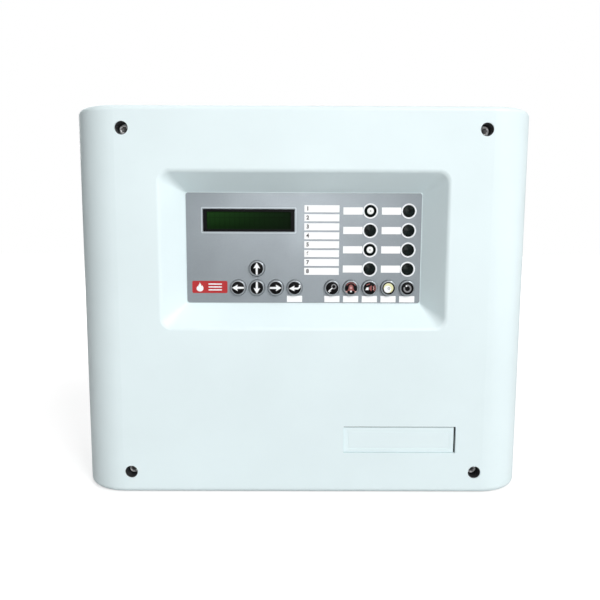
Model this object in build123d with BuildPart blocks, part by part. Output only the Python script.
"""Wall-mounted fire alarm control panel, modelled as the separate pieces it comes apart into.

Frame: origin at the centre of the rear face that lies against the wall, +X to the right as seen
from the front, +Z up, and the front faces -Y. A "stand-off" below is a distance from the wall
towards the front, so a point with stand-off s lies at y = -s. All lengths are in millimetres.
"""
from build123d import *
import math
import os

os.makedirs("parts", exist_ok=True)

# ---------------------------------------------------------------- driving dimensions: enclosure
WIDTH = 352.0
HEIGHT = 296.0
DEPTH = 96.0
SIDE_R = 36.0            # large roundover down both sides of the cover
EDGE_R = 4.0             # small rounding of the top and bottom edges
WALL = 3.0
SEAM = 40.0              # stand-off of the joint line between housing and cover
SEAM_GAP = 0.4
LIP_GAP = 0.3            # cover wall to locating lip
LIP_T = 2.0
LIP_RISE = 6.0           # how far the lip stands past the seam
LIP_FOOT = 34.0

# ---------------------------------------------------------------- driving dimensions: display recess
RIM_HALF_W = 108.0
RIM_TOP = 100.5
RIM_BOTTOM = -17.5
RIM_CORNER_R = 8.0
RIM_SOFT_R = 4.0
RECESS_DEPTH = 18.0
FASCIA_W = 183.0
FASCIA_TOP = 86.0
FASCIA_BOTTOM = 0.5
FASCIA_T = 0.4
FASCIA_GAP = 0.5         # moulding left visible round the overlay
RECESS_FLOOR = DEPTH - RECESS_DEPTH
FLOOR_BACK = RECESS_FLOOR - WALL
FASCIA_FRONT = RECESS_FLOOR + FASCIA_T
FASCIA_H = FASCIA_TOP - FASCIA_BOTTOM
FASCIA_Z = (FASCIA_TOP + FASCIA_BOTTOM) / 2

# ---------------------------------------------------------------- driving dimensions: controls
KEY_PITCH = 14.75
KEY_LAST_X = 81.4
KEY_ROW_Z = 12.4
KEY_UP_Z = 27.5
KEY_R = 6.2
KEY_TOP = FASCIA_FRONT + 2.2
KEY_SHOULDER = 1.0
KEY_HOLE_R = 6.5
KEY_FLANGE_R = 7.2
KEY_FLANGE_T = 1.5
KEY_FLANGE_FRONT = FLOOR_BACK - 0.2
KEY_STEM_R = 1.8
KEY_STEM_END = 71.9
SWITCH_W, SWITCH_T = 6.2, 2.0
PLUNGER_R, PLUNGER_L = 1.7, 0.7
KEY_NAMES = ["reset", "lamp_test", "buzzer", "sounders", "access", None, "enter", "right", "down", "left"]

LCD_X, LCD_Z = -42.75, 64.8
LCD_W, LCD_H = 71.0, 17.2
LCD_VIEW_W, LCD_VIEW_H = 65.6, 13.6
LCD_GAP = 0.3            # opening over the frame's size
LCD_BOARD_W, LCD_BOARD_H = 80.0, 36.0
LCD_CAN_W, LCD_CAN_H = 71.2, 25.2

INDICATOR_XS = (51.6, 81.45)
INDICATOR_TOP_Z = 72.3
INDICATOR_PITCH = 15.0
INDICATOR_ROWS = 4
LENS_R = 4.7
LENS_HOLE_R = 4.95
RING_R, RING_T = 5.9, 0.45
LENS_FRONT = FASCIA_FRONT + 0.6
CENTRE_R, CENTRE_SINK, CENTRE_T = 2.6, 0.5, 0.9
LED_R, LED_L = 2.5, 5.0

ZONE_SLIP_X, ZONE_SLIP_W, ZONE_SLIP_H = 14.0, 27.2, 5.5
ZONE_TOP_Z = 73.9
ZONE_PITCH = 6.93
ZONE_COUNT = 8
TAB_LEFT_GAP = 21.0      # tab's left end to the indicator's centre
TAB_H = 5.6
KEY_SLIP_W, KEY_SLIP_H, KEY_SLIP_Z = 12.0, 5.0, 3.6
SLIP_T = 0.25

NAME_X, NAME_Z = 75.2, -104.9
NAME_W, NAME_H = 87.4, 21.3
NAME_DEPTH = 2.4
NAME_PLATE_T = 1.0
NAME_GAP = 0.25

# ---------------------------------------------------------------- driving dimensions: cover screws
SCREW_X, SCREW_Z = 134.3, 131.1
WELL_R = 4.9
SCREW_HEAD_R = 3.5
SCREW_HEAD_H = 4.0
SCREW_R = 1.7
SCREW_HOLE_R = 1.98      # clearance hole through the boss
SOCKET_AF, SOCKET_D = 4.0, 2.4
HEAD_TOP = DEPTH - 7.5
SEAT = HEAD_TOP - SCREW_HEAD_H
SCREW_L = 40.0
BOSS_R = 7.4
BOSS_RIB_H = 25.0
PILLAR_R = 6.0
PILLAR_TOP = 60.0
INSERT_R = 3.2
INSERT_L = 10.0
THREAD_GAP = 0.06        # insert bore over the screw's radius
BOSS_END = PILLAR_TOP + 0.4

# ---------------------------------------------------------------- driving dimensions: rear housing
FLOOR = 3.0
FIX_X, FIX_Z = 100.0, 132.0       # wall-fixing holes, half spacing
FIX_R = 2.75
FIX_BOSS_R, FIX_BOSS_H = 6.0, 2.0
POST_RIB_T = 2.5                  # ribs from the screw pillars and bosses to the walls
ENTRY_XS = (-90.0, -54.0, -18.0, 18.0, 54.0, 90.0)
ENTRY_STANDOFF = 20.0
ENTRY_R = 10.25                   # 20 mm cable entries
KNOCKOUTS = [(x, 127.0, 10.0) for x in (-30.0, 0.0, 30.0)] + [(x, -134.0, 8.0) for x in (-30.0, 30.0)]
KNOCKOUT_GROOVE, KNOCKOUT_DEPTH = 0.9, 1.2
PLATE_HALF_W = 108.0              # gland plate let into the top wall
PLATE_BACK, PLATE_FRONT = 6.0, 33.0
PLATE_GAP = 0.15
PLATE_FLANGE, PLATE_FLANGE_T = 2.5, 2.0
GROMMET_XS = ENTRY_XS[1:5]        # the four entries that come closed with grommets
GROMMET_T = 1.6                   # rubber flange either side of the plate
GROMMET_LIP, GROMMET_CUP = 2.4, 2.0

# main circuit board
BOARD_T = 1.6
BOARD_BACK = 11.0
BOARD_FRONT = BOARD_BACK + BOARD_T
BOARD_X0, BOARD_X1 = -62.0, 160.0
BOARD_Z0, BOARD_Z1 = -14.0, 112.0
BOARD_CX, BOARD_CZ = (BOARD_X0 + BOARD_X1) / 2, (BOARD_Z0 + BOARD_Z1) / 2
BOARD_W, BOARD_H = BOARD_X1 - BOARD_X0, BOARD_Z1 - BOARD_Z0
POST_R = 3.6
M3_R = 1.5
M3_HOLE_R = 1.65
M3_BITE = 6.0
M4_R = 2.0
M4_BITE = 6.0
PILOT_CLEAR = 0.05                # thread-forming hole: over the screw's radius
PILOT_SPARE = 0.5                 # and past its end
BOARD_EDGE = 5.0                  # screw holes' distance from a board's edges
BOARD_HOLES = [(x, z) for x in (BOARD_X0 + BOARD_EDGE, BOARD_CX, BOARD_X1 - BOARD_EDGE)
               for z in (BOARD_Z0 + BOARD_EDGE, BOARD_Z1 - BOARD_EDGE)]

# power supply board and transformer
SUPPLY_X0, SUPPLY_X1 = -162.0, -70.0
SUPPLY_Z0, SUPPLY_Z1 = 38.0, 112.0
SUPPLY_CX, SUPPLY_CZ = (SUPPLY_X0 + SUPPLY_X1) / 2, (SUPPLY_Z0 + SUPPLY_Z1) / 2
SUPPLY_HOLES = [(x, z) for x in (SUPPLY_X0 + BOARD_EDGE, SUPPLY_X1 - BOARD_EDGE)
                for z in (SUPPLY_Z0 + BOARD_EDGE, SUPPLY_Z1 - BOARD_EDGE)]
XFMR_X, XFMR_Z = -116.0, 6.5
XFMR_W, XFMR_H, XFMR_D = 66.0, 44.0, 40.0
XFMR_FOOT_W, XFMR_FOOT_H, XFMR_FOOT_T = 84.0, 20.0, 1.5
XFMR_HOLE_X = 37.5                # fixing holes, from the transformer's centre
XFMR_WINDOW_X, XFMR_WINDOW_W = 16.5, 11.0
XFMR_COIL_W, XFMR_COIL_END = 42.0, 5.5
XFMR_COIL_GAP = 0.1
XFMR_STANDOFF = 8.0

# batteries: two 12 V 7 Ah blocks
BATT_W, BATT_H, BATT_D = 151.0, 94.0, 65.0
BATT_GAP = 6.0
BATT_X = (BATT_W + BATT_GAP) / 2
BATT_BOTTOM = -122.0
BATT_BACK = FLOOR + 0.5
BATT_TOP = BATT_BOTTOM + BATT_H
BATT_FRONT = BATT_BACK + BATT_D
TAB_W, TAB_RISE, TAB_T = 6.35, 6.5, 0.8
TAB_INSET, TAB_SETBACK = 9.0, 12.0
SHELF_T = 2.5
SHELF_W = 2 * BATT_X + BATT_W - 26.0
SHELF_D = 26.0
FENCE_H = 24.0
STRAP_T = 1.5
STRAP_W = 22.0
STRAP_FOOT_W = 11.0

# display board
DISPLAY_FRONT = 68.0
DISPLAY_BACK = DISPLAY_FRONT - BOARD_T
DISPLAY_W, DISPLAY_H = 182.0, 86.0
DISPLAY_Z = 41.5
DISPLAY_POSTS = [(-86.5, 3.5), (7.65, 3.5), (74.0, 3.5), (-86.5, 80.5), (6.0, 80.5), (86.5, 80.5)]
DISPLAY_POST_R = 3.2
BUZZER_AT, BUZZER_R, BUZZER_D = (-58.0, 30.0), 7.0, 8.0

# ribbon cable
RIBBON_X = 36.0
RIBBON_W = 25.4
RIBBON_T = 0.9
HEADER_Z = 14.0
HEADER_W, HEADER_H, HEADER_D = 34.0, 9.0, 9.0
HEADER_WALL = 1.5
PLUG_W, PLUG_H, PLUG_D = 30.4, 5.4, 12.0
PLUG_GAP = 0.3
RIBBON_IN_PLUG = 2.5              # ribbon's distance from the plug's outer end
RIBBON_BEND_Z = -6.0
LEAD_R = 1.5


def front(standoff):
    """Sketch plane facing the front at a stand-off from the wall: local x is X, local y is Z."""
    return Plane.XZ.offset(standoff)


def label(part, name):
    """Name a finished piece and write its file."""
    part.part.label = name
    export_step(part.part, f"parts/{name}.step")


def box_group(name, centres, width, height, back, depth, round_r=0.0):
    """A group of equal upright blocks that stand on the plane at stand-off `back`."""
    with BuildPart() as group:
        with BuildSketch(front(back)):
            with Locations(*centres):
                if round_r > 0:
                    RectangleRounded(width, height, round_r)
                else:
                    Rectangle(width, height)
        extrude(amount=depth)
    label(group, name)
    return group


def board(name, cx, cz, width, height, back, holes, hole_r):
    """A circuit board with its screw holes."""
    with BuildPart() as panel:
        with BuildSketch(front(back)):
            with Locations((cx, cz)):
                RectangleRounded(width, height, 1.5)
            with Locations(*holes):
                Circle(hole_r, mode=Mode.SUBTRACT)
        extrude(amount=BOARD_T)
    label(panel, name)
    return panel


def pan_screws(name, sets, bite, head_r=2.8, head_h=2.0, shank_r=M3_R, direction=1):
    """Pan-head cross-recess screws: `sets` pairs places with the stand-off their heads bear on."""
    with BuildPart() as screws:
        for places, seat in sets:
            with BuildSketch(front(seat)):
                with Locations(*places):
                    Circle(head_r)
            extrude(amount=direction * head_h)
        crowns = [e for e in screws.edges().filter_by(GeomType.CIRCLE)
                  if min(abs(-e.center().Y - seat - direction * head_h) for _, seat in sets) < 0.01]
        fillet(crowns, 0.7)
        for places, seat in sets:
            with BuildSketch(front(seat)):
                with Locations(*places):
                    Circle(shank_r)
            extrude(amount=-direction * bite)
            with BuildSketch(front(seat + direction * head_h)):
                with Locations(*places):
                    Rectangle(3.2, 0.7)
                    Rectangle(0.7, 3.2)
            extrude(amount=-direction * 1.1, mode=Mode.SUBTRACT)
    label(screws, name)
    return screws


# ================================================================ wall side
pillar_places = [(x, z) for x in (-SCREW_X, SCREW_X) for z in (-SCREW_Z, SCREW_Z)]
fixing_places = [(x, z) for x in (-FIX_X, FIX_X) for z in (-FIX_Z, FIX_Z)]
xfmr_holes = [(XFMR_X - XFMR_HOLE_X, XFMR_Z), (XFMR_X + XFMR_HOLE_X, XFMR_Z)]
STRAP_Z = BATT_BOTTOM + BATT_H / 2
STRAP_POST_R = 4.5
STRAP_FOOT = BATT_FRONT - 20.0
strap_holes = [(side * (BATT_GAP / 2 + BATT_W + 7.0), STRAP_Z) for side in (-1, 1)]

with BuildPart() as rear_housing:
    with BuildSketch(front(0)):
        RectangleRounded(WIDTH, HEIGHT, EDGE_R)
    extrude(amount=SEAM)
    with BuildSketch(front(FLOOR)):
        RectangleRounded(WIDTH - 2 * WALL, HEIGHT - 2 * WALL, 1.5)
    extrude(amount=SEAM, mode=Mode.SUBTRACT)
    # locating lip: joined to the wall up to the seam, then standing clear inside the cover
    for start, stop, outset in ((LIP_FOOT, SEAM, WALL - 0.2), (SEAM, SEAM + LIP_RISE, WALL + LIP_GAP)):
        with BuildSketch(front(start)):
            RectangleRounded(WIDTH - 2 * outset, HEIGHT - 2 * outset, 2.0)
            inner = WALL + LIP_GAP + LIP_T
            RectangleRounded(WIDTH - 2 * inner, HEIGHT - 2 * inner, 1.0, mode=Mode.SUBTRACT)
        extrude(amount=stop - start)
    # cover-screw pillars, with a rib from each pillar to the top or bottom wall
    with BuildSketch(front(FLOOR)):
        with Locations(*pillar_places):
            Circle(PILLAR_R)
    extrude(amount=PILLAR_TOP - FLOOR)
    with BuildSketch(front(FLOOR)):
        for x, z in pillar_places:
            outwards = 1 if z > 0 else -1
            with Locations((x, outwards * (SCREW_Z + HEIGHT / 2 - WALL) / 2)):
                Rectangle(POST_RIB_T, HEIGHT / 2 - WALL - SCREW_Z + 2.0)
    extrude(amount=LIP_FOOT - FLOOR)
    # bosses round the wall-fixing holes, circuit-board posts, transformer and strap posts
    with BuildSketch(front(FLOOR)):
        with Locations(*fixing_places):
            Circle(FIX_BOSS_R)
    extrude(amount=FIX_BOSS_H)
    with BuildSketch(front(FLOOR)):
        with Locations(*BOARD_HOLES, *SUPPLY_HOLES):
            Circle(POST_R)
    extrude(amount=BOARD_BACK - FLOOR)
    with BuildSketch(front(FLOOR)):
        with Locations(*xfmr_holes):
            Circle(POST_R + 1.0)
    extrude(amount=XFMR_STANDOFF - FLOOR)
    with BuildSketch(front(FLOOR)):
        with Locations(*strap_holes):
            Circle(STRAP_POST_R)
    extrude(amount=STRAP_FOOT - FLOOR)
    # shelf under the batteries and a short fence between them
    with BuildSketch(front(FLOOR)):
        with Locations((0, BATT_BOTTOM - SHELF_T / 2 - 0.3)):
            Rectangle(SHELF_W, SHELF_T)
        with Locations((0, BATT_BOTTOM + FENCE_H / 2)):
            Rectangle(BATT_GAP - 2, FENCE_H)
    extrude(amount=SHELF_D)
    # holes
    with BuildSketch(front(0)):
        with Locations(*fixing_places):
            Circle(FIX_R)
    extrude(amount=FLOOR + 3, mode=Mode.SUBTRACT)
    with BuildSketch(front(BOARD_BACK)):
        with Locations(*BOARD_HOLES, *SUPPLY_HOLES):
            Circle(M3_R + PILOT_CLEAR)
    extrude(amount=-(M3_BITE + PILOT_SPARE), mode=Mode.SUBTRACT)
    with BuildSketch(front(XFMR_STANDOFF)):
        with Locations(*xfmr_holes):
            Circle(M4_R + PILOT_CLEAR)
    extrude(amount=-(M4_BITE + PILOT_SPARE), mode=Mode.SUBTRACT)
    with BuildSketch(front(STRAP_FOOT)):
        with Locations(*strap_holes):
            Circle(M4_R + PILOT_CLEAR)
    extrude(amount=-2 * M4_BITE, mode=Mode.SUBTRACT)
    with BuildSketch(front(PILLAR_TOP)):
        with Locations(*pillar_places):
            Circle(INSERT_R)
    extrude(amount=-INSERT_L, mode=Mode.SUBTRACT)
    with BuildSketch(front(PILLAR_TOP - INSERT_L)):
        with Locations(*pillar_places):
            Circle(SCREW_R + 0.4)
    extrude(amount=-(PILLAR_TOP - INSERT_L - SEAT + SCREW_L + 2.0), mode=Mode.SUBTRACT)
    with BuildSketch(Plane.XY.offset(HEIGHT / 2 - WALL - 1)):
        with Locations((0, -(PLATE_BACK + PLATE_FRONT) / 2)):
            Rectangle(2 * PLATE_HALF_W, PLATE_FRONT - PLATE_BACK)
    extrude(amount=WALL + 2, mode=Mode.SUBTRACT)
    # thin rings in the rear face that let rear cable entries be knocked out
    with BuildSketch(front(0)):
        for x, z, radius in KNOCKOUTS:
            with Locations((x, z)):
                Circle(radius + KNOCKOUT_GROOVE / 2)
                Circle(radius - KNOCKOUT_GROOVE / 2, mode=Mode.SUBTRACT)
    extrude(amount=KNOCKOUT_DEPTH, mode=Mode.SUBTRACT)
label(rear_housing, "rear_housing")

with BuildPart() as gland_plate:
    plate_centre = (0, -(PLATE_BACK + PLATE_FRONT) / 2)
    plate_h = PLATE_FRONT - PLATE_BACK
    with BuildSketch(Plane.XY.offset(HEIGHT / 2 - WALL)):
        with Locations(plate_centre):
            Rectangle(2 * (PLATE_HALF_W - PLATE_GAP), plate_h - 2 * PLATE_GAP)
    extrude(amount=WALL)
    # flange that bears on the inside of the top wall; the entries pass through both
    with BuildSketch(Plane.XY.offset(HEIGHT / 2 - WALL)):
        with Locations(plate_centre):
            Rectangle(2 * (PLATE_HALF_W + PLATE_FLANGE), plate_h)
        with Locations(*[(x, -ENTRY_STANDOFF) for x in GROMMET_XS]):
            Circle(ENTRY_R + GROMMET_T, mode=Mode.SUBTRACT)
    extrude(amount=-PLATE_FLANGE_T)
    with BuildSketch(Plane.XY.offset(HEIGHT / 2 - WALL - PLATE_FLANGE_T - 1)):
        with Locations(*[(x, -ENTRY_STANDOFF) for x in ENTRY_XS]):
            Circle(ENTRY_R)
    extrude(amount=WALL + PLATE_FLANGE_T + 2, mode=Mode.SUBTRACT)
label(gland_plate, "gland_plate")

with BuildPart() as cover_inserts:
    with BuildSketch(front(PILLAR_TOP)):
        with Locations(*pillar_places):
            Circle(INSERT_R)
            Circle(SCREW_R + THREAD_GAP, mode=Mode.SUBTRACT)
    extrude(amount=-INSERT_L)
label(cover_inserts, "cover_inserts")

with BuildPart() as entry_grommets:
    for x in GROMMET_XS:
        with BuildSketch(Plane.XY.offset(HEIGHT / 2 - WALL)):
            with Locations((x, -ENTRY_STANDOFF)):
                Circle(ENTRY_R)
        extrude(amount=WALL)
        for base, lip in ((HEIGHT / 2, GROMMET_LIP), (HEIGHT / 2 - WALL - GROMMET_T, GROMMET_LIP - 1.0)):
            with BuildSketch(Plane.XY.offset(base)):
                with Locations((x, -ENTRY_STANDOFF)):
                    Circle(ENTRY_R + lip)
            extrude(amount=GROMMET_T)
        with BuildSketch(Plane.XY.offset(HEIGHT / 2 + GROMMET_T)):
            with Locations((x, -ENTRY_STANDOFF)):
                Circle(ENTRY_R - GROMMET_CUP)
        extrude(amount=-(GROMMET_T + GROMMET_CUP), mode=Mode.SUBTRACT)
    rims = entry_grommets.edges().filter_by(GeomType.CIRCLE).group_by(Axis.Z)[-1]
    fillet(rims.filter_by(lambda e: e.radius > ENTRY_R), 0.8)
label(entry_grommets, "entry_grommets")

# ---------------------------------------------------------------- main board and what stands on it
main_board = board("main_board", BOARD_CX, BOARD_CZ, BOARD_W, BOARD_H, BOARD_BACK, BOARD_HOLES, M3_HOLE_R)
pan_screws("board_screws", [(BOARD_HOLES + SUPPLY_HOLES, BOARD_FRONT)], M3_BITE)

TERM_PITCH = 5.08
TERM_H, TERM_D = 11.0, 13.0
TERM_Z = BOARD_Z1 - TERM_H / 2 - 0.8
TERM_WELL, TERM_WELL_R, TERM_SCREW_L = 6.0, 1.95, 4.6
TERM_SCREW_DROP = 1.5             # terminal screws sit below the row's middle
zone_ways, output_ways = 16, 10
ZONE_TERM_X, OUT_TERM_X = 2.0, 104.0


def way_places(cx, ways):
    return [(cx + (i - (ways - 1) / 2) * TERM_PITCH, TERM_Z) for i in range(ways)]


with BuildPart() as field_terminals:
    for cx, ways in ((ZONE_TERM_X, zone_ways), (OUT_TERM_X, output_ways)):
        with BuildSketch(front(BOARD_FRONT)):
            with Locations((cx, TERM_Z)):
                Rectangle(ways * TERM_PITCH, TERM_H)
        extrude(amount=TERM_D)
    front_edges = field_terminals.edges().filter_by(Axis.X).group_by(Axis.Y)[0]
    chamfer(front_edges.group_by(Axis.Z)[-1], 3.0)
    all_ways = way_places(ZONE_TERM_X, zone_ways) + way_places(OUT_TERM_X, output_ways)
    with BuildSketch(front(BOARD_FRONT + TERM_D)):
        with Locations(*[(x, z - TERM_SCREW_DROP) for x, z in all_ways]):
            Circle(TERM_WELL_R)
    extrude(amount=-TERM_WELL, mode=Mode.SUBTRACT)
    with BuildSketch(Plane.XY.offset(TERM_Z + TERM_H / 2)):
        with Locations(*[(x, -(BOARD_FRONT + 5.0)) for x, z in all_ways]):
            Rectangle(3.6, 4.2)
    extrude(amount=-TERM_WELL, mode=Mode.SUBTRACT)
label(field_terminals, "field_terminals")

screw_places = [(x, z - TERM_SCREW_DROP) for x, z in all_ways]
with BuildPart() as terminal_screws:
    with BuildSketch(front(BOARD_FRONT + TERM_D - TERM_WELL)):
        with Locations(*screw_places):
            Circle(TERM_WELL_R - 0.1)
    extrude(amount=TERM_SCREW_L)
    with BuildSketch(front(BOARD_FRONT + TERM_D - TERM_WELL + TERM_SCREW_L)):
        with Locations(*screw_places):
            Rectangle(5, 0.6)
    extrude(amount=-1.0, mode=Mode.SUBTRACT)
label(terminal_screws, "terminal_screws")

RELAY_W, RELAY_H, RELAY_D = 15.4, 19.0, 15.0
relay_places = [(x, 76.0) for x in (78.0, 98.0, 118.0, 138.0)]
box_group("relays", relay_places, RELAY_W, RELAY_H, BOARD_FRONT, RELAY_D, round_r=0.8)

small_caps = [(-50, 30), (-36, 30), (120, 18), (136, 18), (150, 44)]
supply_caps = [(-96, 52), (-118, 52)]
cap_sets = [(small_caps, 5.0, 17.0), (supply_caps, 9.0, 30.0)]     # places, radius, height
with BuildPart() as capacitors:
    for places, radius, height in cap_sets:
        with BuildSketch(front(BOARD_FRONT)):
            with Locations(*places):
                Circle(radius)
        extrude(amount=height)
    rims = capacitors.edges().filter_by(GeomType.CIRCLE)
    fillet(rims.filter_by(lambda e: e.center().Y < -BOARD_FRONT - 1), 1.0)
label(capacitors, "capacitors")

fuse_places = [(-30.0, 4.0), (-30.0, 16.0)]
MAINS_FUSE = (-144.0, 74.0)
FUSE_BASE_D, FUSE_R, FUSE_L = 5.0, 2.6, 20.0
with BuildPart() as fuses:
    with BuildSketch(front(BOARD_FRONT)):
        with Locations(*fuse_places):
            RectangleRounded(24.0, 9.0, 0.8)
    extrude(amount=FUSE_BASE_D)
    for x, z in fuse_places:
        with BuildSketch(Plane.YZ.offset(x - FUSE_L / 2)):
            with Locations((-(BOARD_FRONT + FUSE_BASE_D + 1.6), z)):
                Circle(FUSE_R)
        extrude(amount=FUSE_L)
    with BuildSketch(front(BOARD_FRONT)):
        with Locations(MAINS_FUSE):
            RectangleRounded(26, 10, 1.0)
    extrude(amount=12)
    fillet(fuses.faces().sort_by(Axis.Y)[0].edges(), 1.5)
label(fuses, "fuses")


def box_header(name, standoff, direction):
    """A shrouded ribbon header on a board face at `standoff`; direction +1 opens to the front."""
    with BuildPart() as header:
        with BuildSketch(front(standoff)):
            with Locations((RIBBON_X, HEADER_Z)):
                Rectangle(HEADER_W, HEADER_H)
        extrude(amount=direction * HEADER_D)
        with BuildSketch(front(standoff + direction * HEADER_WALL)):
            with Locations((RIBBON_X, HEADER_Z)):
                Rectangle(HEADER_W - 2 * HEADER_WALL, HEADER_H - 2 * HEADER_WALL)
        extrude(amount=direction * HEADER_D, mode=Mode.SUBTRACT)
    label(header, name)
    return header


box_header("board_header", BOARD_FRONT, 1)

BATTERY_PLUGS = [(145.0, 10.0), (-52.0, 4.0)]     # where the battery leads reach the main board
PLUG_TOP = BOARD_FRONT + 10.0

# ---------------------------------------------------------------- power supply
supply_board = board("supply_board", SUPPLY_CX, SUPPLY_CZ, SUPPLY_X1 - SUPPLY_X0, SUPPLY_Z1 - SUPPLY_Z0,
                     BOARD_BACK, SUPPLY_HOLES, M3_HOLE_R)

FIN_COUNT = 7
FIN_W, FIN_L, FIN_PITCH = 1.6, 14.0, 5.2
SINK_X, SINK_Z = -96.0, 88.0
SINK_W, SINK_T, SINK_D = 36.0, 3.0, 30.0
with BuildPart() as heatsink:
    with BuildSketch(front(BOARD_FRONT)):
        with Locations((SINK_X, SINK_Z)):
            Rectangle(SINK_W, SINK_T)
            with Locations(*[((i - (FIN_COUNT - 1) / 2) * FIN_PITCH, FIN_L / 2) for i in range(FIN_COUNT)]):
                Rectangle(FIN_W, FIN_L)
    extrude(amount=SINK_D)
label(heatsink, "heatsink")

DEVICE_W, DEVICE_T, TAB_PLATE_T, DEVICE_BODY_L, DEVICE_TAB_L = 10.2, 4.6, 1.4, 12.0, 7.0
device_back = SINK_Z - SINK_T / 2 - 0.2
with BuildPart() as power_transistor:
    with BuildSketch(front(BOARD_FRONT)):
        with Locations((SINK_X, device_back - DEVICE_T / 2)):
            Rectangle(DEVICE_W, DEVICE_T)
    extrude(amount=DEVICE_BODY_L)
    with BuildSketch(front(BOARD_FRONT + DEVICE_BODY_L)):
        with Locations((SINK_X, device_back - TAB_PLATE_T / 2)):
            Rectangle(DEVICE_W, TAB_PLATE_T)
    extrude(amount=DEVICE_TAB_L)
label(power_transistor, "power_transistor")

MAINS_X, MAINS_Z = -138.0, 101.0
MAINS_W, MAINS_H, MAINS_D = 28.0, 15.0, 16.0
MAINS_PITCH, MAINS_WELL = 9.0, 7.0
mains_xs = [MAINS_X + (i - 1) * MAINS_PITCH for i in range(3)]
with BuildPart() as mains_terminal:
    with BuildSketch(front(BOARD_FRONT)):
        with Locations((MAINS_X, MAINS_Z)):
            Rectangle(MAINS_W, MAINS_H)
    extrude(amount=MAINS_D)
    with BuildSketch(front(BOARD_FRONT + MAINS_D)):
        with Locations(*[(x, MAINS_Z - 2) for x in mains_xs]):
            Circle(2.4)
    extrude(amount=-MAINS_WELL, mode=Mode.SUBTRACT)
    with BuildSketch(Plane.XY.offset(MAINS_Z + MAINS_H / 2)):
        with Locations(*[(x, -(BOARD_FRONT + 6)) for x in mains_xs]):
            Rectangle(6, 6)
    extrude(amount=-MAINS_WELL, mode=Mode.SUBTRACT)
label(mains_terminal, "mains_terminal")

core_mid = XFMR_STANDOFF + XFMR_FOOT_T + XFMR_D / 2
with BuildPart() as transformer_core:
    with BuildSketch(front(XFMR_STANDOFF + XFMR_FOOT_T)):
        with Locations((XFMR_X, XFMR_Z)):
            Rectangle(XFMR_W, XFMR_H)
    extrude(amount=XFMR_D)
    # two windows through the laminations, top to bottom, that hold the winding
    with BuildSketch(Plane.XY.offset(XFMR_Z - XFMR_H / 2)):
        with Locations(*[(XFMR_X + side * XFMR_WINDOW_X, -core_mid) for side in (-1, 1)]):
            Rectangle(XFMR_WINDOW_W, XFMR_D - 14)
    extrude(amount=XFMR_H, mode=Mode.SUBTRACT)
    # foot plate
    with BuildSketch(front(XFMR_STANDOFF)):
        with Locations((XFMR_X, XFMR_Z)):
            RectangleRounded(XFMR_FOOT_W, XFMR_FOOT_H, 2)
        with Locations(*xfmr_holes):
            Circle(2.2, mode=Mode.SUBTRACT)
    extrude(amount=XFMR_FOOT_T)
label(transformer_core, "transformer_core")

coil_half = XFMR_H / 2 + XFMR_COIL_GAP
with BuildPart() as transformer_winding:
    for direction in (1, -1):
        with BuildSketch(Plane.XY.offset(XFMR_Z + direction * coil_half)):
            with Locations((XFMR_X, -core_mid)):
                RectangleRounded(XFMR_COIL_W, XFMR_D - 15, 4)
        extrude(amount=direction * XFMR_COIL_END)
    for side in (-1, 1):
        with BuildSketch(Plane.XY.offset(XFMR_Z - coil_half)):
            with Locations((XFMR_X + side * XFMR_WINDOW_X, -core_mid)):
                Rectangle(XFMR_WINDOW_W - 1, XFMR_D - 15)
        extrude(amount=2 * coil_half)
label(transformer_winding, "transformer_winding")

EARTH_X, EARTH_Z = -62.0, 128.0
NUT_R, NUT_T, STUD_L = 4.0, 3.2, 14.0
with BuildPart() as earth_terminal:
    with BuildSketch(front(FLOOR)):
        with Locations((EARTH_X, EARTH_Z)):
            RegularPolygon(NUT_R, 6)
    extrude(amount=NUT_T)
    with BuildSketch(front(FLOOR + NUT_T)):
        with Locations((EARTH_X, EARTH_Z)):
            Circle(M4_R)
    extrude(amount=STUD_L)
    with BuildSketch(front(FLOOR + NUT_T + 4.0)):
        with Locations((EARTH_X, EARTH_Z)):
            RegularPolygon(NUT_R, 6)
            Circle(M4_R + PILOT_CLEAR, mode=Mode.SUBTRACT)
    extrude(amount=NUT_T)
label(earth_terminal, "earth_terminal")

# ---------------------------------------------------------------- batteries, strap and leads
LID_H, LID_LEDGE = 14.0, 1.2
batt_mid = BATT_BACK + BATT_D / 2
for side, name in ((-1, "battery_left"), (1, "battery_right")):
    with BuildPart() as battery:
        for base, rise, shrink in ((BATT_BOTTOM, BATT_H - LID_H, LID_LEDGE),
                                   (BATT_TOP - LID_H, LID_H, 0.0)):
            with BuildSketch(Plane.XY.offset(base)):
                with Locations((side * BATT_X, -batt_mid)):
                    RectangleRounded(BATT_W - shrink, BATT_D - shrink, 2.0)
            extrude(amount=rise)
        fillet(battery.edges().group_by(Axis.Z)[-1], 0.8)
    label(battery, name)

tab_xs = [side * BATT_X + s * (BATT_W / 2 - TAB_INSET) for side in (-1, 1) for s in (-1, 1)]
tab_standoff = BATT_FRONT - TAB_SETBACK
SLEEVE_W, SLEEVE_D, SLEEVE_FOOT, SLEEVE_RISE = 8.6, 4.0, 0.6, 12.4
SLEEVE_TOP = BATT_TOP + SLEEVE_FOOT + SLEEVE_RISE
with BuildPart() as battery_tabs:
    with BuildSketch(Plane.XY.offset(BATT_TOP)):
        with Locations(*[(x, -tab_standoff) for x in tab_xs]):
            Rectangle(TAB_W, TAB_T)
    extrude(amount=TAB_RISE)
label(battery_tabs, "battery_tabs")

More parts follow.
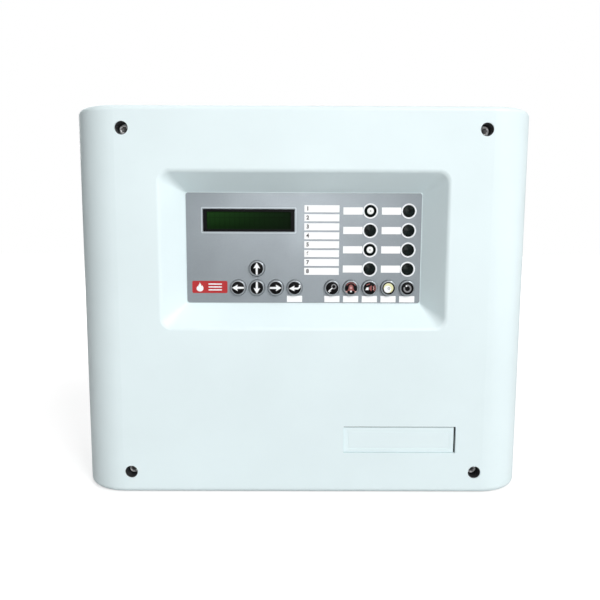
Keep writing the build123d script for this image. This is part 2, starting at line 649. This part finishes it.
with BuildPart() as lead_connectors:
    with BuildSketch(front(BOARD_FRONT)):
        with Locations(*BATTERY_PLUGS):
            RectangleRounded(8.0, 8.0, 0.6)
    extrude(amount=PLUG_TOP - BOARD_FRONT)
    with BuildSketch(Plane.XY.offset(BATT_TOP + SLEEVE_FOOT)):
        with Locations(*[(x, -tab_standoff) for x in tab_xs]):
            RectangleRounded(SLEEVE_W, SLEEVE_D, 1.2)
    extrude(amount=SLEEVE_RISE)
    with BuildSketch(Plane.XY.offset(BATT_TOP + SLEEVE_FOOT)):
        with Locations(*[(x, -tab_standoff) for x in tab_xs]):
            Rectangle(TAB_W + 0.2, TAB_T + 0.2)
    extrude(amount=TAB_RISE, mode=Mode.SUBTRACT)
label(lead_connectors, "lead_connectors")


def lead(name, points):
    """A round lead, first upwards, along straight runs joined by the largest tangent arcs that fit."""
    corners = [Vector(*p) for p in points]
    radii = []
    for before, at, after in zip(corners, corners[1:], corners[2:]):
        turn = math.radians((at - before).get_angle(after - at))
        shorter = min((at - before).length, (after - at).length)
        radii.append(0.45 * shorter / math.tan(turn / 2))
    print(name, "bend radii", [round(r, 1) for r in radii])
    with BuildPart() as wire:
        with BuildLine() as route:
            FilletPolyline(*points, radius=radii)
        with BuildSketch(Plane(origin=points[0], z_dir=(0, 0, 1))):
            Circle(LEAD_R)
        sweep(path=route.line)
    return wire.part


lead_y = -tab_standoff
red_x, red_z = BATTERY_PLUGS[0]
red_lead = lead("red", [(red_x, lead_y, SLEEVE_TOP), (red_x, lead_y, red_z - 14),
                        (red_x, lead_y + 10, red_z), (red_x, -PLUG_TOP, red_z)])
black_x, black_z = BATTERY_PLUGS[1]
black_far = tab_xs[0]
black_lead = lead("black", [(black_far, lead_y, SLEEVE_TOP), (black_far, lead_y, 3),
                            (black_far + 25, lead_y, 6), (black_far + 54, lead_y - 1, -6),
                            (black_x - 14, lead_y, -5), (black_x, lead_y + 12, black_z),
                            (black_x, -PLUG_TOP, black_z)])
link_lead = lead("link", [(tab_xs[1], lead_y, SLEEVE_TOP), (tab_xs[1], lead_y, -1), (0, lead_y + 2, 7),
                          (tab_xs[2], lead_y, -1), (tab_xs[2], lead_y, SLEEVE_TOP)])
with BuildPart() as battery_lead_red:
    add(red_lead)
label(battery_lead_red, "battery_lead_red")
with BuildPart() as battery_leads_black:
    add(black_lead)
    add(link_lead)
label(battery_leads_black, "battery_leads_black")

strap_inner = BATT_GAP / 2 + BATT_W + 0.8
strap_half = strap_inner + STRAP_T + STRAP_FOOT_W
strap_clear = BATT_FRONT + 0.4
with BuildPart() as battery_strap:
    with BuildSketch(Plane.XY.offset(STRAP_Z - STRAP_W / 2)):
        with BuildLine():
            inside = FilletPolyline((-strap_half, -STRAP_FOOT), (-strap_inner, -STRAP_FOOT),
                                    (-strap_inner, -strap_clear), (strap_inner, -strap_clear),
                                    (strap_inner, -STRAP_FOOT), (strap_half, -STRAP_FOOT), radius=0.8)
            strap_outer = strap_inner + STRAP_T
            foot_face = -STRAP_FOOT - STRAP_T
            outside = FilletPolyline((strap_half, foot_face), (strap_outer, foot_face),
                                     (strap_outer, -strap_clear - STRAP_T),
                                     (-strap_outer, -strap_clear - STRAP_T),
                                     (-strap_outer, foot_face), (-strap_half, foot_face), radius=0.8)
            Line(inside @ 1, outside @ 0)
            Line(outside @ 1, inside @ 0)
        make_face()
    extrude(amount=STRAP_W)
    with BuildSketch(front(STRAP_FOOT)):
        with Locations(*strap_holes):
            Circle(2.2)
    extrude(amount=STRAP_T, mode=Mode.SUBTRACT)
label(battery_strap, "battery_strap")
pan_screws("bracket_screws",
           [(xfmr_holes, XFMR_STANDOFF + XFMR_FOOT_T), (strap_holes, STRAP_FOOT + STRAP_T)], M4_BITE, head_r=3.6, head_h=2.4, shank_r=M4_R)


# ================================================================ cover side
key_places = {}
for i, name in enumerate(KEY_NAMES):
    if name:
        key_places[name] = (KEY_LAST_X - i * KEY_PITCH, KEY_ROW_Z)
key_places["up"] = (key_places["down"][0], KEY_UP_Z)
indicator_places = [(x, INDICATOR_TOP_Z - i * INDICATOR_PITCH)
                    for x in INDICATOR_XS for i in range(INDICATOR_ROWS)]
lit_places = [indicator_places[0], indicator_places[2]]


def cover_plan(inset):
    """Plan outline of the cover: square at the seam, large arcs at the front, moved in by `inset`."""
    half = WIDTH / 2 - inset
    radius = SIDE_R - inset
    nose = DEPTH - inset
    seam = SEAM + SEAM_GAP if inset == 0 else SEAM - 5.0
    with BuildSketch() as plan:
        with BuildLine():
            Line((-half + radius, -nose), (half - radius, -nose))
            TangentArc((half - radius, -nose), (half, -nose + radius), tangent=(1, 0))
            Polyline((half, -nose + radius), (half, -seam), (-half, -seam), (-half, -nose + radius))
            TangentArc((-half, -nose + radius), (-half + radius, -nose), tangent=(0, -1))
        make_face()
    return plan.sketch


def recess_frustum(margin, floor_standoff):
    """The block bounded by the display recess's four sloping walls, grown by `margin` all round."""
    floor_w = FASCIA_W + 2 * (FASCIA_GAP + margin)
    floor_h = FASCIA_H + 2 * (FASCIA_GAP + margin)
    with BuildPart() as frustum:
        with BuildSketch(front(DEPTH)):
            with Locations((0, (RIM_TOP + RIM_BOTTOM) / 2)):
                RectangleRounded(2 * (RIM_HALF_W + margin), RIM_TOP - RIM_BOTTOM + 2 * margin, RIM_CORNER_R)
        with BuildSketch(front(floor_standoff)):
            with Locations((0, FASCIA_Z)):
                RectangleRounded(floor_w, floor_h, 1.0)
        loft(ruled=True)
    return frustum.part


outer_plan, inner_plan = cover_plan(0), cover_plan(WALL)
recess_shell, recess_space = recess_frustum(WALL, FLOOR_BACK), recess_frustum(0, RECESS_FLOOR)

with BuildPart() as front_cover:
    with BuildSketch(Plane.XY.offset(-HEIGHT / 2)):
        add(outer_plan)
    extrude(amount=HEIGHT)
    outline = front_cover.edges().group_by(Axis.Z)
    seam_free = [e for e in outline[0] + outline[-1] if e.center().Y < -SEAM - 1]
    fillet(seam_free, EDGE_R)
    with BuildSketch(Plane.XY.offset(-HEIGHT / 2 + WALL)):
        add(inner_plan)
    extrude(amount=HEIGHT - 2 * WALL, mode=Mode.SUBTRACT)
    add(recess_shell)
    # cover-screw bosses with ribs to the top and bottom walls
    with BuildSketch(front(BOSS_END)):
        with Locations(*pillar_places):
            Circle(BOSS_R)
    extrude(amount=DEPTH - WALL - BOSS_END + 0.5)
    with BuildSketch(front(DEPTH - WALL + 0.5)):
        for x, z in pillar_places:
            outwards = 1 if z > 0 else -1
            with Locations((x, outwards * (SCREW_Z + HEIGHT / 2 - WALL) / 2)):
                Rectangle(POST_RIB_T, HEIGHT / 2 - WALL - SCREW_Z + 1.0)
    extrude(amount=-BOSS_RIB_H)
    add(recess_space, mode=Mode.SUBTRACT)
    rim = front_cover.edges().filter_by_position(Axis.Y, -DEPTH - 0.01, -DEPTH + 0.01)
    rim = rim.filter_by(lambda e: abs(e.center().X) < RIM_HALF_W + 1)
    fillet(rim.filter_by(lambda e: RIM_BOTTOM - 1 < e.center().Z < RIM_TOP + 1), RIM_SOFT_R)
    # name-plate recess
    with BuildSketch(front(DEPTH)):
        with Locations((NAME_X, NAME_Z)):
            RectangleRounded(NAME_W, NAME_H, 0.5)
    extrude(amount=-NAME_DEPTH, mode=Mode.SUBTRACT)
    # screw wells and clearance holes
    with BuildSketch(front(SEAT)):
        with Locations(*pillar_places):
            Circle(WELL_R)
    extrude(amount=DEPTH, mode=Mode.SUBTRACT)
    with BuildSketch(front(BOSS_END - 1)):
        with Locations(*pillar_places):
            Circle(SCREW_HOLE_R)
    extrude(amount=DEPTH, mode=Mode.SUBTRACT)
    # openings in the recess floor
    with BuildSketch(front(FLOOR_BACK - 1)):
        with Locations((LCD_X, LCD_Z)):
            Rectangle(LCD_W + LCD_GAP, LCD_H + LCD_GAP)
        with Locations(*key_places.values()):
            Circle(KEY_HOLE_R)
        with Locations(*indicator_places):
            Circle(LENS_HOLE_R)
    extrude(amount=WALL + 2, mode=Mode.SUBTRACT)
    # posts that carry the display board
    with BuildSketch(front(FLOOR_BACK + 0.5)):
        with Locations(*DISPLAY_POSTS):
            Circle(DISPLAY_POST_R)
    extrude(amount=-(FLOOR_BACK + 0.5 - DISPLAY_FRONT))
    with BuildSketch(front(DISPLAY_FRONT)):
        with Locations(*DISPLAY_POSTS):
            Circle(M3_R + PILOT_CLEAR)
    extrude(amount=M3_BITE + PILOT_SPARE, mode=Mode.SUBTRACT)
label(front_cover, "front_cover")

with BuildPart() as fascia_overlay:
    with BuildSketch(front(RECESS_FLOOR)):
        with Locations((0, FASCIA_Z)):
            RectangleRounded(FASCIA_W, FASCIA_H, 2.0)
        with Locations((LCD_X, LCD_Z)):
            Rectangle(LCD_W + LCD_GAP, LCD_H + LCD_GAP, mode=Mode.SUBTRACT)
        with Locations(*key_places.values()):
            Circle(KEY_HOLE_R, mode=Mode.SUBTRACT)
        with Locations(*indicator_places):
            Circle(LENS_HOLE_R, mode=Mode.SUBTRACT)
    extrude(amount=FASCIA_T)
label(fascia_overlay, "fascia_overlay")

with BuildPart() as legend_slips:
    with BuildSketch(front(FASCIA_FRONT)):
        with Locations(*[(ZONE_SLIP_X, ZONE_TOP_Z - i * ZONE_PITCH) for i in range(ZONE_COUNT)]):
            Rectangle(ZONE_SLIP_W, ZONE_SLIP_H)
        for x, z in indicator_places:
            with Locations((x - (TAB_LEFT_GAP + RING_R) / 2, z)):
                Rectangle(TAB_LEFT_GAP - RING_R - 0.1, TAB_H)
        with Locations(*[(key_places[k][0], KEY_SLIP_Z)
                         for k in ("enter", "access", "sounders", "buzzer", "lamp_test", "reset")]):
            Rectangle(KEY_SLIP_W, KEY_SLIP_H)
    extrude(amount=SLIP_T)
label(legend_slips, "legend_slips")

with BuildPart() as nameplate_insert:
    with BuildSketch(front(DEPTH - NAME_DEPTH)):
        with Locations((NAME_X, NAME_Z)):
            RectangleRounded(NAME_W - 2 * NAME_GAP, NAME_H - 2 * NAME_GAP, 0.5)
    extrude(amount=NAME_PLATE_T)
    chamfer(nameplate_insert.faces().sort_by(Axis.Y)[0].edges(), 0.3)
label(nameplate_insert, "nameplate_insert")

# ---------------------------------------------------------------- liquid-crystal display
LCD_BEZEL_BACK, LCD_BEZEL_FRONT = FLOOR_BACK + 0.2, FASCIA_FRONT - 0.2
LCD_BOARD_BACK = DISPLAY_FRONT + 1.0
LCD_CAN_FRONT = FLOOR_BACK - 0.1
with BuildPart() as lcd_bezel:
    with BuildSketch(front(LCD_BEZEL_BACK)):
        with Locations((LCD_X, LCD_Z)):
            RectangleRounded(LCD_W, LCD_H, 0.4)
            Rectangle(LCD_VIEW_W, LCD_VIEW_H, mode=Mode.SUBTRACT)
    extrude(amount=LCD_BEZEL_FRONT - LCD_BEZEL_BACK)
label(lcd_bezel, "lcd_bezel")
box_group("lcd_screen", [(LCD_X, LCD_Z)], LCD_VIEW_W - 0.2, LCD_VIEW_H - 0.2, LCD_BEZEL_BACK + 0.3, 1.8)
box_group("lcd_module", [(LCD_X, LCD_Z)], LCD_CAN_W, LCD_CAN_H, LCD_BOARD_BACK + BOARD_T,
          LCD_CAN_FRONT - LCD_BOARD_BACK - BOARD_T, round_r=0.8)
lcd_holes = [(LCD_X + side * (LCD_BOARD_W / 2 - 2.5), LCD_Z + end * (LCD_BOARD_H / 2 - 2.5))
             for side in (-1, 1) for end in (-1, 1)]
board("lcd_board", LCD_X, LCD_Z, LCD_BOARD_W, LCD_BOARD_H, LCD_BOARD_BACK, lcd_holes, 1.25)

# ---------------------------------------------------------------- indicators
with BuildPart() as indicator_bezels:
    with BuildSketch(front(FASCIA_FRONT)):
        with Locations(*indicator_places):
            Circle(RING_R)
            Circle(LENS_R + 0.1, mode=Mode.SUBTRACT)
    extrude(amount=RING_T)
label(indicator_bezels, "indicator_bezels")

with BuildPart() as indicator_lenses:
    with BuildSketch(front(FLOOR_BACK)):
        with Locations(*indicator_places):
            Circle(LENS_R)
    extrude(amount=LENS_FRONT - FLOOR_BACK)
    fillet(indicator_lenses.edges().filter_by(GeomType.CIRCLE).group_by(Axis.Y)[0], 0.4)
    with BuildSketch(front(FLOOR_BACK)):
        with Locations(*indicator_places):
            Circle(LENS_R + 0.9)
    extrude(amount=-1.0)
    with BuildSketch(front(FLOOR_BACK - 1.0)):
        with Locations(*indicator_places):
            Circle(LENS_R - 1.0)
    extrude(amount=3.0, mode=Mode.SUBTRACT)
    with BuildSketch(front(LENS_FRONT)):
        with Locations(*lit_places):
            Circle(CENTRE_R + 0.05)
    extrude(amount=-CENTRE_SINK, mode=Mode.SUBTRACT)
label(indicator_lenses, "indicator_lenses")

with BuildPart() as indicator_centres:
    with BuildSketch(front(LENS_FRONT - CENTRE_SINK)):
        with Locations(*lit_places):
            Circle(CENTRE_R)
    extrude(amount=CENTRE_T)
    fillet(indicator_centres.edges().filter_by(GeomType.CIRCLE).group_by(Axis.Y)[0], 0.35)
label(indicator_centres, "indicator_centres")

with BuildPart() as indicator_leds:
    with BuildSketch(front(DISPLAY_FRONT)):
        with Locations(*indicator_places):
            Circle(LED_R)
    extrude(amount=LED_L)
    fillet(indicator_leds.edges().filter_by(GeomType.CIRCLE).group_by(Axis.Y)[0], LED_R - 0.5)
label(indicator_leds, "indicator_leds")

# ---------------------------------------------------------------- keys and the switches under them
for name, (x, z) in key_places.items():
    with BuildPart() as key:
        with BuildSketch(front(KEY_FLANGE_FRONT)):
            with Locations((x, z)):
                Circle(KEY_R)
        extrude(amount=KEY_TOP - KEY_FLANGE_FRONT)
        fillet(key.edges().filter_by(GeomType.CIRCLE).group_by(Axis.Y)[0], KEY_SHOULDER)
        with BuildSketch(front(KEY_FLANGE_FRONT)):
            with Locations((x, z)):
                Circle(KEY_FLANGE_R)
        extrude(amount=-KEY_FLANGE_T)
        with BuildSketch(front(KEY_FLANGE_FRONT - KEY_FLANGE_T)):
            with Locations((x, z)):
                Circle(KEY_STEM_R)
        extrude(amount=-(KEY_FLANGE_FRONT - KEY_FLANGE_T - KEY_STEM_END))
    label(key, f"key_{name}")

with BuildPart() as tact_switches:
    with BuildSketch(front(DISPLAY_FRONT)):
        with Locations(*key_places.values()):
            RectangleRounded(SWITCH_W, SWITCH_W, 0.5)
    extrude(amount=SWITCH_T)
    with BuildSketch(front(DISPLAY_FRONT + SWITCH_T)):
        with Locations(*key_places.values()):
            Circle(PLUNGER_R)
    extrude(amount=PLUNGER_L)
label(tact_switches, "tact_switches")

# ---------------------------------------------------------------- display board
board("display_board", 0, DISPLAY_Z, DISPLAY_W, DISPLAY_H, DISPLAY_BACK, DISPLAY_POSTS, M3_HOLE_R)
pan_screws("display_board_screws", [(DISPLAY_POSTS, DISPLAY_BACK)], M3_BITE, direction=-1)
with BuildPart() as display_buzzer:
    with BuildSketch(front(DISPLAY_BACK)):
        with Locations(BUZZER_AT):
            Circle(BUZZER_R)
            Circle(1.2, mode=Mode.SUBTRACT)
    extrude(amount=-BUZZER_D)
label(display_buzzer, "display_buzzer")
box_header("display_header", DISPLAY_BACK, -1)

# ---------------------------------------------------------------- ribbon cable and its two plugs
plug_low = BOARD_FRONT + HEADER_WALL + PLUG_GAP
plug_high = DISPLAY_BACK - HEADER_WALL - PLUG_GAP
with BuildPart() as ribbon_plugs:
    for start, direction in ((plug_low, 1), (plug_high, -1)):
        with BuildSketch(front(start)):
            with Locations((RIBBON_X, HEADER_Z)):
                Rectangle(PLUG_W, PLUG_H)
        extrude(amount=direction * PLUG_D)
label(ribbon_plugs, "ribbon_plugs")

low = plug_low + PLUG_D - RIBBON_IN_PLUG
high = plug_high - PLUG_D + RIBBON_IN_PLUG
plug_face = HEADER_Z - PLUG_H / 2
with BuildPart() as ribbon_cable:
    with BuildSketch(Plane.YZ.offset(RIBBON_X - RIBBON_W / 2)):
        with BuildLine():
            half = RIBBON_T / 2
            for s, t in ((low - half, high + half), (low + half, high - half)):
                Line((-s, plug_face), (-s, RIBBON_BEND_Z))
                RadiusArc((-s, RIBBON_BEND_Z), (-t, RIBBON_BEND_Z), (t - s) / 2)
                Line((-t, RIBBON_BEND_Z), (-t, plug_face))
            Line((-(low - half), plug_face), (-(low + half), plug_face))
            Line((-(high - half), plug_face), (-(high + half), plug_face))
        make_face()
    extrude(amount=RIBBON_W)
label(ribbon_cable, "ribbon_cable")

# ---------------------------------------------------------------- cover screws
screw_rows = {"top": SCREW_Z, "bottom": -SCREW_Z}
screw_columns = {"left": -SCREW_X, "right": SCREW_X}
for row, z in screw_rows.items():
    for column, x in screw_columns.items():
        with BuildPart() as screw:
            with BuildSketch(front(SEAT)):
                with Locations((x, z)):
                    Circle(SCREW_HEAD_R)
            extrude(amount=SCREW_HEAD_H)
            chamfer(screw.edges().filter_by(GeomType.CIRCLE).group_by(Axis.Y)[0], 0.35)
            with BuildSketch(front(HEAD_TOP)):
                with Locations((x, z)):
                    RegularPolygon(SOCKET_AF / 2, 6, major_radius=False)
            extrude(amount=-SOCKET_D, mode=Mode.SUBTRACT)
            with BuildSketch(front(SEAT)):
                with Locations((x, z)):
                    Circle(SCREW_R)
            extrude(amount=-SCREW_L)
            chamfer(screw.edges().filter_by(GeomType.CIRCLE).group_by(Axis.Y)[-1], 0.4)
        label(screw, f"cover_screw_{row}_{column}")
